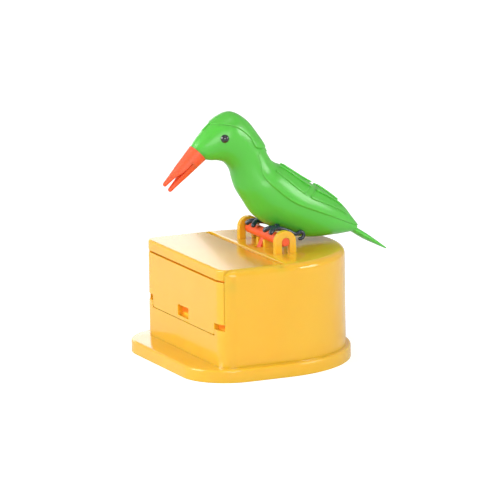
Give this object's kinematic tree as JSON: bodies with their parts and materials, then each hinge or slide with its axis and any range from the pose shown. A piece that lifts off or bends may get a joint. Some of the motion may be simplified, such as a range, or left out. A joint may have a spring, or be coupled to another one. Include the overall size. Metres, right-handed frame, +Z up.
{
  "type": "toothpick dispenser",
  "caption": "Yellow toothpick box on a wider base plate, with a green bird that rocks on an orange perch to pick at the front window with its forked beak.",
  "frame": {"origin": "middle of the base plate's flat underside", "axes": "+Z up, the bird's beak and the front door face -Y, and X runs along the perch, so +X is the bird's left side"},
  "size_m": [0.076, 0.0894, 0.0891],
  "materials": {
    "yellow_box": "glossy moulded",
    "green_bird": "soft gloss moulded",
    "orange_red": "soft gloss moulded",
    "dark_navy": "glossy moulded",
    "black_eye": "polished",
    "steel": "plain"
  },
  "bodies": {
    "housing": {"base_plate": "yellow_box", "base_screws": "steel", "box_shell": "yellow_box", "hopper": "yellow_box", "return_spring": "steel"},
    "flap": {"top_flap": "yellow_box"},
    "door": {"front_door": "yellow_box"},
    "bird": {"perch_bar": "orange_red", "bird_body": "green_bird", "back_cover": "green_bird", "head_cap": "green_bird", "tail": "green_bird", "beak": "orange_red", "eye_left": "black_eye", "eye_right": "black_eye", "foot_left": "dark_navy", "foot_right": "dark_navy"}
  },
  "joints": [
    {"name": "bird_bow", "type": "hinge", "parent": "housing", "child": "bird", "pos_m": [0, 0.0069, 0.0435], "axis": [1, 0, 0], "range_deg": [0, 60], "stiffness_Nm_per_rad": 0.002, "springref_deg": -22.92, "deforming": ["return_spring"]},
    {"name": "flap_hinge", "type": "hinge", "parent": "housing", "child": "flap", "pos_m": [0, -0.003, 0.0375], "axis": [1, 0, 0], "range_deg": [-7, 0]},
    {"name": "door_hinge", "type": "hinge", "parent": "housing", "child": "door", "pos_m": [0, -0.0214, 0.0334], "axis": [1, 0, 0], "range_deg": [-6, 0]}
  ]
}
